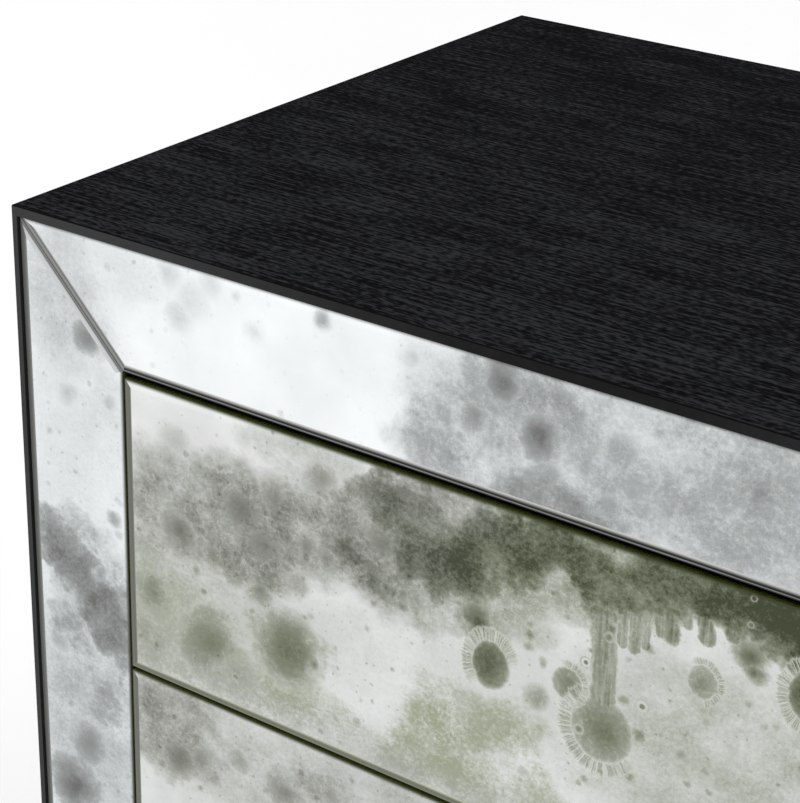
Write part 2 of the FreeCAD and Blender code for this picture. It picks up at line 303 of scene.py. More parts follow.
def screw_tree():
    """Nodes that set a cross-head screw on every point, facing along the point's own vector."""
    tree = bpy.data.node_groups.new("cross_head_screws", "GeometryNodeTree")
    sizes = ("Head Diameter", "Top Diameter", "Head Height", "Recess Width", "Recess Depth", "Shank Diameter",
             "Shank Length")
    tree.interface.new_socket("Geometry", in_out="INPUT", socket_type="NodeSocketGeometry")
    for name in sizes:
        tree.interface.new_socket(name, in_out="INPUT", socket_type="NodeSocketFloat")
    tree.interface.new_socket("Finish", in_out="INPUT", socket_type="NodeSocketMaterial")
    tree.interface.new_socket("Geometry", in_out="OUTPUT", socket_type="NodeSocketGeometry")

    def add(kind, settings=None, sockets=None):
        node = tree.nodes.new(kind)
        for name, value in (settings or {}).items():
            setattr(node, name, value)
        for name, value in (sockets or {}).items():
            if isinstance(value, bpy.types.NodeSocket):
                tree.links.new(value, node.inputs[name])
            else:
                node.inputs[name].default_value = value
        return node

    def times(value, factor):
        return add("ShaderNodeMath", {"operation": "MULTIPLY"}, {0: value, 1: factor}).outputs[0]

    head_sides, shank_sides = 28, 12
    blade_share = 0.62
    seed = 7
    given = add("NodeGroupInput").outputs
    head = add("GeometryNodeMeshCone", sockets={
        "Vertices": head_sides, "Radius Top": times(given["Top Diameter"], 0.5),
        "Radius Bottom": times(given["Head Diameter"], 0.5), "Depth": given["Head Height"],
    })
    blade_length = times(given["Top Diameter"], blade_share)
    blade_depth = times(given["Recess Depth"], 2.0)
    lift = add("ShaderNodeCombineXYZ", sockets={2: given["Head Height"]}).outputs[0]
    recess = head.outputs["Mesh"]
    for length, width in ((blade_length, given["Recess Width"]), (given["Recess Width"], blade_length)):
        size = add("ShaderNodeCombineXYZ", sockets={0: length, 1: width, 2: blade_depth}).outputs[0]
        blade = add("GeometryNodeMeshCube", sockets={"Size": size}).outputs["Mesh"]
        moved = add("GeometryNodeTransform", sockets={"Geometry": blade, "Translation": lift}).outputs[0]
        cut = add("GeometryNodeMeshBoolean", {"operation": "DIFFERENCE"}, {"Mesh 1": recess, "Mesh 2": moved})
        recess = cut.outputs["Mesh"]
    shank = add("GeometryNodeMeshCylinder", sockets={
        "Vertices": shank_sides, "Radius": times(given["Shank Diameter"], 0.5),
        "Depth": given["Shank Length"],
    }).outputs["Mesh"]
    drop = add("ShaderNodeCombineXYZ", sockets={2: times(given["Shank Length"], -0.5)}).outputs[0]
    shank = add("GeometryNodeTransform", sockets={"Geometry": shank, "Translation": drop}).outputs[0]
    screw = add("GeometryNodeJoinGeometry")
    tree.links.new(shank, screw.inputs[0])
    tree.links.new(recess, screw.inputs[0])
    facing = add("GeometryNodeInputNamedAttribute", {"data_type": "FLOAT_VECTOR"}, {"Name": "facing"})
    aim = add("FunctionNodeAlignRotationToVector", {"axis": "Z"}, {"Vector": facing.outputs[0]})
    spin = add("FunctionNodeRandomValue", sockets={2: 0.0, 3: math.pi, "Seed": seed})
    turn = add("FunctionNodeAxisAngleToRotation", sockets={"Axis": (0.0, 0.0, 1.0), "Angle": spin.outputs[1]})
    rotation = add("FunctionNodeRotateRotation", {"rotation_space": "LOCAL"},
                   {"Rotation": aim.outputs[0], "Rotate By": turn.outputs[0]})
    placed = add("GeometryNodeInstanceOnPoints", sockets={
        "Points": given["Geometry"], "Instance": screw.outputs[0], "Rotation": rotation.outputs[0],
    })
    real = add("GeometryNodeRealizeInstances", sockets={"Geometry": placed.outputs[0]})
    painted = add("GeometryNodeSetMaterial", sockets={
        "Geometry": real.outputs[0], "Material": given["Finish"],
    })
    add("NodeGroupOutput", sockets={0: painted.outputs[0]})
    return tree


cross_head_screws = screw_tree()


def set_screws(name, body, places, finish, sizes):
    """Screws at the given places, each with the way its head faces, as one plain mesh."""
    points = bpy.data.meshes.new(name)
    points.from_pydata([place for place, _ in places], [], [])
    facing = points.attributes.new("facing", "FLOAT_VECTOR", "POINT")
    facing.data.foreach_set("vector", [part for _, way in places for part in way])
    maker = bpy.data.objects.new(name + "_points", points)
    bpy.context.scene.collection.objects.link(maker)
    modifier = maker.modifiers.new("screws", "NODES")
    modifier.node_group = cross_head_screws
    for item in cross_head_screws.interface.items_tree:
        if item.in_out == "INPUT" and item.name in sizes:
            modifier[item.identifier] = sizes[item.name]
        if item.name == "Finish":
            modifier[item.identifier] = finish
    made = maker.evaluated_get(bpy.context.evaluated_depsgraph_get())
    mesh = bpy.data.meshes.new_from_object(made)
    bpy.data.objects.remove(maker)
    screws = bpy.data.objects.new(name, mesh)
    bpy.context.scene.collection.objects.link(screws)
    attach(screws, body)
    return screws


back_low, back_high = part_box("back_panel_screws")
screw_head = 0.0065
screw_ledge = 0.040
screw_rows = 4
countersunk_head = {
    "Head Diameter": 0.0030, "Top Diameter": screw_head, "Head Height": 0.00175, "Recess Width": 0.0009,
    "Recess Depth": 0.0012, "Shank Diameter": 0.0030, "Shank Length": 0.0200,
}
dress("back_panel", board_back())
black_zinc = plated_steel("black_zinc", (0.10, 0.10, 0.105), 0.42, 0.6)
outward = Vector((0.0, 1.0, 0.0))
left, right = back_low.x + screw_head / 2, back_high.x - screw_head / 2
low, high = back_low.z + screw_head / 2, back_high.z - screw_head / 2
neck = back_high.y - countersunk_head["Head Height"]
back_places = []
for row in range(screw_rows):
    share = row / (screw_rows - 1)
    up = low + screw_ledge + share * (high - low - 2 * screw_ledge)
    over = left + screw_ledge + share * (right - left - 2 * screw_ledge)
    back_places += [(Vector((x, neck, up)), outward) for x in (left, right)]
    back_places += [(Vector((over, neck, z)), outward) for z in (low, high)]
back_screws = set_screws("back_screws", "case", back_places, black_zinc, countersunk_head)
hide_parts("back_panel_screws")

# Face frame
# Painted board rails and stiles behind the mirror border. Only their inner edges show, deep in the gaps
# round the drawers.
frame_paint = black_paint("frame_paint", 0.006, 0.75)
for piece in ("top_rail", "bottom_rail", "left_stile", "right_stile"):
    dress("face_frame_" + piece, frame_paint)

# Plinth
# Four rails in the same stained oak, set in under the case, on round black glides that are nailed into
# the ends of the front and back rails.


def glide_nylon():
    """Black nylon, scuffed underneath."""
    finish, place = new_finish("glide_nylon")
    scuff = place.noise(place, 1.2, 5.0, 0.7)
    surface(finish, {
        "Base Color": scuff.ramp((0.35, (0.012, 0.012, 0.012)), (0.75, (0.045, 0.045, 0.044))),
        "Roughness": 0.35 + 0.3 * scuff,
        "Normal": scuff.bump(0.00005, 0.4),
    })
    return finish


plinth_across = black_oak("black_oak_plinth_across", "front")
plinth_along = black_oak("black_oak_plinth_along", "end")
for piece in ("front", "back"):
    dress(f"plinth_{piece}_rail", plinth_across)
for piece in ("left", "right"):
    dress(f"plinth_{piece}_rail", plinth_along)
dress("floor_glides", glide_nylon())

# Cleats and latch batten
# Planed pine, left bare. The cleats bring the runners in line with the face frame, and the batten
# stands behind the drawers to carry the latches.


def planed_pine(name, grain):
    """Bare pine with growth rings that run along one axis."""
    pale, dark = (0.66, 0.48, 0.28), (0.47, 0.29, 0.13)
    ring = 7.0
    finish, place = new_finish(name)
    x, y, z = place.split()
    along, across, depth = {"Y": (y, z, x), "Z": (z, x, y)}[grain]
    sway_place = place.join(along * 0.006, across * 0.03, depth * 0.03)
    sway = (place.noise(sway_place, 1.0, 2.0) - 0.5) * 2.6 * ring
    band_place = place.join(along * 0.004, (across + sway) * (1 / ring), depth * (0.4 / ring))
    band = place.noise(band_place, 1.0, 2.0)
    fibre = place.noise(place.join(along * 0.05, across * 1.4, depth * 1.4), 1.0, 4.0, 0.7)
    tone = band.smooth(0.35, 0.7) * 0.7 + fibre * 0.3
    surface(finish, {
        "Base Color": tone.ramp((0.1, pale), (0.9, dark)),
        "Roughness": 0.48 + 0.25 * fibre,
        "Specular IOR Level": 0.3,
        "Normal": fibre.bump(0.0001, 0.3),
    })
    return finish


dress("runner_cleats", planed_pine("pine_cleats", "Y"))
dress("latch_batten", planed_pine("pine_batten", "Z"))

# Runners
# Zinc-plated steel channels, nested three deep on each side, with steel balls between their flanges. Low
# pan-head screws fix the outer channels to the cleats and the inner ones to the drawer sides.
drawers = ("upper", "middle", "lower")
zinc = plated_steel("zinc_plate", (0.66, 0.68, 0.70), 0.34, 0.72)
bright_steel = plated_steel("ball_steel", (0.78, 0.78, 0.78), 0.16, 0.85)
runner_sheet = 0.0012
screw_share = (0.08, 0.5, 0.92)
pan_head = {
    "Head Diameter": 0.0070, "Top Diameter": 0.0054, "Head Height": 0.0005, "Recess Width": 0.0009,
    "Recess Depth": 0.0004, "Shank Diameter": 0.0030, "Shank Length": 0.0010,
}
dress("outer_runners", zinc)
outer_low, outer_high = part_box("outer_runners")
outer_places = []
for drawer in drawers:
    for piece in ("drawer_inner_runners", "drawer_middle_runners"):
        dress(f"{drawer}_{piece}", zinc)
    for piece in ("drawer_outer_ball_cages", "drawer_inner_ball_cages"):
        dress(f"{drawer}_{piece}", bright_steel)
    low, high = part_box(f"{drawer}_drawer_inner_runners")
    level = (low.z + high.z) / 2
    side_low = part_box(f"{drawer}_drawer_left_side")[0].x
    side_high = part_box(f"{drawer}_drawer_right_side")[1].x
    inner_places = []
    for share in screw_share:
        y = low.y + share * (high.y - low.y)
        for side, drawer_face, cleat_face in ((-1, side_low, outer_low.x), (1, side_high, outer_high.x)):
            way = Vector((side, 0.0, 0.0))
            inner_places.append((Vector((drawer_face + side * runner_sheet, y, level)), way))
            outer_places.append((Vector((cleat_face - side * runner_sheet, y, level)), -way))
    inner_screws = set_screws(f"{drawer}_drawer_runner_screws", f"{drawer}_drawer", inner_places, zinc,
                              {**pan_head, "Head Height": 0.0014, "Recess Depth": 0.0010})
set_screws("case_runner_screws", "case", outer_places, zinc, pan_head)

# Push latches
# Grey moulded housings screwed to the batten, each with a sprung plunger that pushes its drawer open.


def moulded_plastic(name, colour):
    """Moulded plastic with a fine spark-eroded texture."""
    finish, place = new_finish(name)
    spark = place.noise(place, 0.35, 2.0)
    flow = place.noise(place, 20.0, 3.0)
    light = tuple(1.15 * part for part in colour)
    surface(finish, {
        "Base Color": flow.ramp((0.3, colour), (0.7, light)),
        "Roughness": 0.42 + 0.15 * spark,
        "Normal": spark.bump(0.00004, 0.5),
    })
    return finish


latch_grey = moulded_plastic("latch_grey", (0.24, 0.25, 0.26))
tip_grey = moulded_plastic("tip_grey", (0.12, 0.12, 0.125))
latch_low, latch_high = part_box("latch_housings")
ear_thickness, ear_length, ear_inset = 0.004, 0.013, 0.0065
ear_front = latch_high.y - ear_thickness
ear_reach = (latch_high.x - latch_low.x) / 2 + ear_length - ear_inset
forward = Vector((0.0, -1.0, 0.0))
dress("latch_housings", latch_grey)
ear_places = []
for drawer in drawers:
    low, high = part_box(f"{drawer}_latch_plunger")
    level = (low.z + high.z) / 2
    for side in (-1, 1):
        ear_places.append((Vector((0.0, ear_front, level + side * ear_reach)), forward))
    dress(f"{drawer}_latch_plunger", tip_grey)
    dress(f"{drawer}_latch_spring", bright_steel)
ear_screws = set_screws("latch_screws", "case", ear_places, zinc,
                        {**pan_head, "Head Height": 0.0018, "Recess Depth": 0.0012})

# Drawer boxes
# Birch plywood, clear lacquered. The sides are housed into a black-painted front board, and the thin
# bottom slides in a groove under the back.


def birch_ply(name, grain, normal_axis):
    """Birch face veneer with fine flecks. The edges show the crossed plies."""
    ply = 1.5
    wave_repeat = 0.314  # spacing of the bands of a wave texture at scale 1
    finish, place = new_finish(name)
    x, y, z = place.split()
    along, across, depth = {"X": (x, z, y), "Y": (y, z, x)}[grain]
    fleck = place.noise(place.join(along * 0.07, across * 0.9, depth * 0.5), 1.0, 4.0, 0.65)
    figure = place.noise(place.join(along * 0.008, across * 0.05, depth * 0.05), 1.0, 3.0)
    face = (fleck * 0.55 + figure * 0.6).ramp((0.3, (0.74, 0.58, 0.40)), (0.8, (0.58, 0.41, 0.25)))
    layer = place.node("TexWave", {"wave_profile": "SIN", "bands_direction": normal_axis},
                       {"Vector": place, "Scale": wave_repeat / ply, "Distortion": 0.3, "Detail": 2.0}, out=1)
    plies = layer.smooth(0.35, 0.65) * 0.8 + fleck * 0.2
    edge = plies.ramp((0.1, (0.70, 0.53, 0.35)), (0.9, (0.40, 0.26, 0.14)))
    facing = place.node("NewGeometry", out="Normal").split()["XYZ".index(normal_axis)]
    surface(finish, {
        "Base Color": abs(facing).smooth(0.6, 0.4).mix(face, edge),
        "Roughness": 0.36 + 0.2 * fleck,
        "Specular IOR Level": 0.4,
        "Normal": fleck.bump(0.00006, 0.3),
    })
    return finish


side_birch = birch_ply("birch_sides", "Y", "X")
back_birch = birch_ply("birch_back", "X", "Y")
bottom_birch = birch_ply("birch_bottom", "X", "Z")
board_paint = black_paint("front_board_paint", 0.011, 0.5)
for drawer in drawers:
    dress(f"{drawer}_drawer_front_board", board_paint)
    dress(f"{drawer}_drawer_left_side", side_birch)
    dress(f"{drawer}_drawer_right_side", side_birch)
    dress(f"{drawer}_drawer_back", back_birch)
    dress(f"{drawer}_drawer_bottom", bottom_birch)

# Antique mirror
# Clear glass with a ground bevel, silvered behind and then aged with acid, which leaves grey clouds, olive
# pools with fringed edges, runs and specks. Strips with mitred corners frame the front, and a pane faces
# each drawer.
bevel_front, glass_back = (corner.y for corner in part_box("mirror_strip_top"))
glass_thickness = glass_back - bevel_front
bevel_depth = 0.0005


def bevel_share(y):
    """How far down the bevel's slope a place is, from 0 at its inner arris to 1 at its edge."""
    return y.line(1 / (1000 * bevel_depth), -bevel_front / bevel_depth)


def antique_silver(name, silver, stain_and_shade, edge, specks, clouds, spots,
                   greys=(), blooms=(), bursts=(), bubbles=(), runs=()):
    """Aged silvering that darkens to the outer edge of a bevel.

    Marks are in millimetres, across and up. Clouds, greys and blooms have a centre, two half sizes and a
    strength. Spots have a centre, a size and a strength, and bubbles a centre and a size. Bursts have a
    centre, two half sizes, the share that is core, the side that is lit, in degrees, and a strength. Runs
    have a tip, a top, half a width and a strength.
    """
    bloom_green = (0.28, 0.312, 0.19, 1.0)
    crust = (0.66, 0.675, 0.62, 1.0)
    speck_kinds = ((4.5, 0.20, 0.14), (10.0, 0.22, 0.18), (24.0, 0.15, 0.26))
    finish, place = new_finish(name)
    x, y, z = place.split()
    pane = place.join(x, z, 0.0)

    def stray(where, size):
        """How far noise carries a place off, across and up, so that edges wander."""
        sockets = {"Vector": where, "Scale": 1 / size, "Detail": 3.0}
        noise = pane.node("TexNoise", {"noise_dimensions": "2D"}, sockets, out=1)
        over, up = noise.split("SeparateColor")[:2]
        return over - 0.5, up - 0.5

    def around(where, centre, size):
        """Place relative to a mark, in units of its size."""
        return [part.line(1 / half, -middle / half) for part, middle, half in zip(where, centre, size)]

    def square_reach(over, up):
        """Square of the distance from a mark's centre."""
        return pane.node("Math", {"operation": "MULTIPLY_ADD"}, {0: over, 1: over, 2: up * up})

    def blanket(where, patches):
        """The strongest of several soft patches at each place."""
        cover = None
        for centre, size, strength in patches:
            patch = square_reach(*around(where, centre, size)).smooth(2.1, 0.0, strength)
            cover = cover | patch if cover else patch
        return cover

    # Noises, and the clouds with their ragged edges
    billow = pane.noise(pane, 26.0, 6.0, 0.68)
    grain = pane.noise(pane, 2.4, 2.5, 0.8)
    clear = pane.noise(pane, 60.0, 4.0).ramp((0.35, silver[0]), (0.6, silver[1]))
    streak = pane.noise(pane.join(x * 0.7, z * 0.04, 0.0), 1.0, 2.0).smooth(0.3, 0.7)
    far = stray(pane, 17.0)
    far = far[0].line(22.0, x), far[1].line(22.0, z)
    near = stray(pane.join(*far, 0.0), 3.6)
    wander = near[0].line(2.4, far[0]), near[1].line(2.4, far[1])
    steady = near[0].line(2.0, x), near[1].line(2.0, z)
    mottle = (billow - 0.5) * 3.0 + (grain - 0.5) * 0.6
    cover = blanket(wander, clouds)
    rough = cover.smooth(0.35, 0.65, 0.30) - cover.smooth(0.65, 1.0, 0.20) + 0.02
    depth = (cover + mottle * rough).smooth(0.0, 1.3)
    pale = grain.smooth(0.58, 0.75, 0.22) * cover.smooth(0.1, 0.5) * cover.smooth(1.0, 0.6)

    # Blots with soft edges
    for centre, size, strength in spots:
        out = pane.math("SQRT", square_reach(*around(steady, centre, (size, size)))) + mottle * 0.9
        depth = depth | out.smooth(1.7, -0.15, strength)

    # Streaky runs that hang from the clouds
    for (tip_x, tip_z), (top_x, top_z), width, strength in runs:
        climb = z.smooth(tip_z, top_z)
        over = steady[0].line(1 / width, climb.line((tip_x - top_x) / width, -tip_x / width))
        under = pane.math("MINIMUM", steady[1].line(1 / width, -tip_z / width), 0.0)
        reach = square_reach(over, under) + mottle * 0.7
        run = reach.smooth(1.7, 0.3) * climb.smooth(1.0, 0.7)
        depth = depth | run * streak.line(0.35 * strength, 0.82 * strength)
        pale = pale | reach.smooth(0.9, 1.3) * reach.smooth(2.1, 1.5) * climb.smooth(0.6, 0.1, 0.06)

    # Specks of three kinds, one to a cell
    for cell, largest, strength in speck_kinds:
        voronoi = pane.node("TexVoronoi", {"voronoi_dimensions": "2D"},
                            {"Vector": pane.join(*steady, 0.0), "Scale": 1 / cell})
        chance, size = Shade(pane.tree, voronoi.socket.node.outputs[1]).split("SeparateColor")[:2]
        dot = (voronoi - size * largest).smooth(0.03, -0.12) * chance.smooth(0.45, 0.95)
        depth = depth + dot * (strength * specks)

    # Round pools with a fringe of fine hairs
    for centre, size, core_share, side, strength in bursts:
        lit_turn = math.radians(side)
        over, up = around(steady, centre, size)
        out = pane.math("SQRT", square_reach(over, up))
        over, up = over * (1 / out), up * (1 / out)
        hair = pane.noise(pane.join(over * 30.0, up * 30.0, out * 0.5), 1.0, 1.0, 0.5)
        lit = (over * math.cos(lit_turn) + up * math.sin(lit_turn)).smooth(-0.8, 0.2)
        ragged = out + (hair - 0.5) * 0.3
        core = (out + mottle * 0.1).smooth(1.12 * core_share, 0.75 * core_share)
        fringe = ragged.smooth(1.34, 1.25) * out.smooth(0.85 * core_share, 0.98 * core_share)
        outline = ragged.smooth(1.16, 1.26) * fringe
        pool = core * out.smooth(1.0, 0.1).line(0.32 * strength, 0.68 * strength)
        depth = depth | pool | fringe * lit * 0.40
        pale = pale | fringe * lit * hair.smooth(0.47, 0.56) * 0.65 | outline * lit * 0.5

    # Small bubbles with a pale ring
    for centre, size in bubbles:
        out = pane.math("SQRT", square_reach(*around((x, z), centre, (size, size))))
        depth = depth | out.smooth(0.6, 0.25, 0.62) | out.smooth(0.7, 0.95) * out.smooth(1.35, 1.0, 0.3)
        pale = pale | out.smooth(0.40, 0.65) * out.smooth(1.05, 0.75, 0.32)

    # Colours, from the clear silver to the thickest stain
    depth = depth * billow.line(1.0, 0.5) * grain.line(0.8, 0.6)
    vein = pane.noise(pane.join(*steady, 0.0), 9.0, 3.0, 0.6) - 0.5
    curl = abs(vein).smooth(0.03, 0.0, 0.24)
    pale = pale | curl * depth.smooth(0.15, 0.3) * depth.smooth(0.6, 0.4)
    if blooms:
        bloom = blanket(wander, blooms)
        bloom = (bloom + (mottle + (grain - 0.5) * 1.6) * (0.05 + 0.9 * bloom)).smooth(0.0, 1.1)
        clear = bloom.mix(clear, bloom_green)
    thin = depth.smooth(0.0, 0.42).mix(clear, (*stain_and_shade[0], 1.0))
    middle = depth.smooth(0.3, 0.75).mix(thin, (*stain_and_shade[1], 1.0))
    thick = depth.smooth(0.65, 1.0).mix(middle, (*stain_and_shade[2], 1.0))
    if greys:
        thick = blanket(steady, greys).mix(thick, thick.node("RGBToBW", sockets={0: thick}))
    aged = pale.mix(thick, crust)
    surface(finish, {
        "Base Color": bevel_share(y).smooth(0.42, 1.0).mix(aged, (*edge, 1.0)),
        "Metallic": 1 - 0.6 * depth,
        "Roughness": 0.06 + 0.4 * depth,
        "Specular IOR Level": 0.25,
        "Coat Weight": 0.25,
        "Coat Roughness": 0.03,
    })
    return finish


def painted_light_bevel(name, tint, *painted_bands):
    """Ground bevel in bands of painted reflection and shade, with painted highlight lines, from its inner
    arris to its edge.
    """
    finish, place = new_finish(name)
    x, y, z = place.split()
    down = bevel_share(y)
    streak = place.noise(place.join(x * 0.02, z * 0.02, down * 4.0), 1.0, 3.0)
    stops = [(where, tuple(tone * part for part in tint)) for where, tone in painted_bands]
    surface(finish, {
        "Base Color": (down + (streak - 0.5) * 0.12).ramp(*stops),
        "Metallic": 0.15,
        "Roughness": 0.16 + 0.1 * streak,
        "Specular IOR Level": 0.2,
    })
    return finish


def glass_edge():
    """Cut edge of the glass, olive with a wet shine, with painted shade darkening it the deeper it lies in
    the gap.
    """
    finish, place = new_finish("glass_edge")
    y = place.split()[1]
    cut = place.noise(place, 6.0, 4.0, 0.6)
    olive = cut.ramp((0.3, (0.050, 0.060, 0.012)), (0.7, (0.100, 0.112, 0.026)))
    # Painted shade: darker the further back the edge lies in the gap.
    gap_shade = y.smooth(1000 * (bevel_front + bevel_depth), 1000 * (bevel_front + glass_thickness))
    surface(finish, {
        "Base Color": gap_shade.mix(olive, (0.006, 0.008, 0.002, 1.0)),
        "Roughness": 0.12 + 0.2 * cut,
        "Coat Weight": 0.4,
    })
    return finish


cool_silver = ((0.735, 0.765, 0.775), (0.845, 0.865, 0.875))
cool_stain = ((0.37, 0.39, 0.39), (0.235, 0.243, 0.240), (0.125, 0.126, 0.120))
cool_edge = (0.045, 0.050, 0.040)
border_clouds = (
    # Left strip
    ((-275, 480), (60, 200), 0.31), ((-278, 618), (36, 44), 0.42), ((-293, 491), (15, 16), 0.68),
    ((-282, 481), (17, 17), 0.88), ((-271, 470), (18, 18), 0.91), ((-260, 456), (18, 19), 0.88),
    ((-250, 444), (15, 19), 0.86), ((-245, 430), (9, 16), 0.74), ((-280, 438), (15, 10), 0.60),
    ((-271, 424), (12, 12), 0.60), ((-260, 410), (11, 12), 0.48), ((-290, 446), (9, 8), 0.50),
    ((-264, 464), (34, 44), 0.50), ((-274, 486), (24, 26), 0.50), ((-252, 464), (18, 28), 0.60),
    ((-256, 396), (16, 14), 0.60), ((-270, 390), (60, 80), 0.45), ((-252, 560), (24, 40), 0.34),
    ((-276, 220), (22, 90), 0.52), ((-258, 290), (20, 40), 0.46),
    # Top strip
    ((-240, 644), (50, 20), 0.30), ((-10, 627), (76, 46), 0.48), ((-20, 640), (44, 22), 0.56),
    ((25, 618), (40, 36), 0.50), ((80, 622), (50, 40), 0.56), ((60, 648), (40, 14), 0.50),
    ((130, 628), (60, 40), 0.56), ((-58, 608), (28, 24), 0.54), ((0, 599), (40, 14), 0.72),
    ((210, 630), (70, 26), 0.52),
    # Right strip
    ((270, 540), (30, 110), 0.50), ((258, 350), (22, 60), 0.42), ((276, 230), (26, 50), 0.58),
    ((262, 170), (26, 60), 0.46), ((275, 320), (50, 340), 0.30),
    # Bottom strip
    ((120, 82), (120, 20), 0.52), ((190, 62), (60, 18), 0.58), ((-40, 64), (90, 16), 0.42),
    ((-215, 82), (80, 26), 0.50), ((0, 70), (330, 40), 0.31),
)
border_spots = (
    # Left strip
    ((-248, 509), 5.0, 0.44), ((-261, 603), 10.0, 0.76), ((-287, 616), 9.0, 0.30), ((-275, 570), 9.0, 0.28),
    ((-249, 572), 6.0, 0.30), ((-270, 369), 14.0, 0.74), ((-280, 338), 17.0, 1.04),
    ((-258, 401), 9.0, 0.44), ((-288, 425), 8.0, 0.40),
    # Top strip
    ((-123, 649), 5.0, 0.42), ((-160, 633), 6.0, 0.18), ((-75, 644), 8.0, 0.26), ((-211, 648), 10.0, 0.24),
    ((-205, 629), 9.0, 0.22), ((-198, 639), 11.0, 0.18), ((-185, 650), 8.0, 0.18), ((-30, 645), 10.0, 0.92),
    ((-43, 627), 9.0, 0.66), ((-11, 627), 10.0, 0.96), ((-7, 608), 9.0, 0.56), ((4, 600), 8.0, 0.60),
    ((23, 605), 8.0, 0.55), ((26, 630), 10.0, 0.50), ((33, 615), 8.0, 0.48), ((65, 625), 8.0, 0.44),
    ((73, 621), 6.0, 0.44), ((87, 615), 8.0, 0.44), ((-59, 609), 7.0, 0.30), ((180, 640), 7.0, 0.45),
    # Right strip
    ((258, 470), 8.0, 0.45), ((270, 140), 10.0, 0.48),
    # Bottom strip
    ((60, 70), 8.0, 0.45),
)
border_silver = antique_silver("antique_border", cool_silver, cool_stain, cool_edge, 0.6,
                               border_clouds, border_spots)
warm_silver = ((0.65, 0.67, 0.66), (0.765, 0.785, 0.78))
olive_stain = ((0.345, 0.363, 0.302), (0.150, 0.167, 0.108), (0.036, 0.046, 0.017))
olive_edge = (0.028, 0.037, 0.010)
pane_clouds = (
    # Upper drawer
    ((-205, 528), (50, 36), 0.56), ((-165, 533), (46, 36), 0.68), ((-232, 508), (28, 40), 0.46),
    ((-130, 543), (42, 32), 0.56), ((-185, 487), (60, 30), 0.42), ((-225, 455), (34, 28), 0.48),
    ((-190, 580), (70, 20), 0.20), ((-120, 582), (60, 14), 0.40), ((-98, 548), (34, 28), 0.74),
    ((-78, 570), (34, 19), 0.85), ((-84, 542), (24, 14), 0.70), ((-55, 580), (40, 14), 0.62),
    ((-58, 551), (30, 21), 0.92), ((-43, 557), (20, 17), 0.98), ((-22, 569), (31, 17), 0.95),
    ((2, 578), (38, 14), 0.96), ((28, 578), (28, 14), 0.85), ((48, 580), (24, 14), 0.96),
    ((35, 567), (20, 14), 0.82), ((54, 574), (16, 11), 0.84), ((78, 580), (28, 14), 1.00),
    ((104, 582), (32, 17), 1.06), ((132, 579), (36, 19), 1.16), ((108, 572), (18, 12), 0.94),
    ((170, 560), (46, 30), 0.85), ((215, 545), (34, 46), 0.66), ((190, 460), (40, 28), 0.66),
    ((-105, 488), (44, 34), 0.32), ((-72, 540), (50, 30), 0.56), ((-35, 548), (44, 32), 0.52),
    ((10, 566), (50, 26), 0.52), ((14, 577), (18, 12), 0.84), ((26, 565), (17, 14), 0.84),
    ((43, 569), (16, 11), 0.72), ((-12, 545), (24, 14), 0.38), ((-50, 539), (14, 9), 0.62),
    ((-20, 490), (130, 80), 0.31), ((70, 500), (80, 70), 0.43), ((140, 480), (100, 90), 0.47),
    # Middle drawer
    ((-215, 402), (50, 32), 0.58), ((0, 400), (300, 60), 0.45), ((-118, 404), (30, 16), 0.50),
    ((215, 340), (30, 34), 0.80), ((180, 348), (36, 24), 0.92), ((140, 342), (34, 20), 0.86),
    ((105, 352), (34, 18), 0.80), ((66, 362), (36, 18), 0.72), ((25, 378), (40, 20), 0.62),
    ((150, 375), (60, 26), 0.56), ((-190, 300), (50, 26), 0.58), ((-120, 322), (50, 22), 0.52),
    ((-60, 300), (46, 20), 0.46), ((0, 310), (300, 60), 0.34),
    # Lower drawer
    ((-215, 214), (34, 28), 0.72), ((-176, 206), (36, 22), 0.88), ((-138, 200), (34, 20), 0.94),
    ((-100, 208), (34, 18), 0.84), ((-62, 222), (36, 18), 0.74), ((-22, 234), (40, 18), 0.64),
    ((-150, 232), (70, 24), 0.54), ((130, 160), (60, 26), 0.58), ((185, 140), (40, 24), 0.62),
    ((40, 130), (60, 18), 0.50), ((0, 185), (300, 80), 0.36),
)
pane_greys = (
    # Upper drawer
    ((-170, 545), (110, 46), 0.55), ((-80, 580), (50, 16), 0.50),
    # Middle drawer
    ((-140, 405), (150, 40), 0.50),
)
pane_blooms = (
    # Upper drawer
    ((-50, 470), (24, 20), 0.80), ((-20, 482), (20, 15), 0.68), ((-52, 445), (44, 14), 0.78),
    ((-225, 460), (30, 46), 0.66), ((-170, 446), (70, 18), 0.66), ((-8, 452), (22, 16), 0.54),
    # Middle drawer
    ((100, 400), (70, 36), 0.70), ((-20, 300), (70, 36), 0.70),
    # Lower drawer
    ((60, 180), (70, 36), 0.70),
)
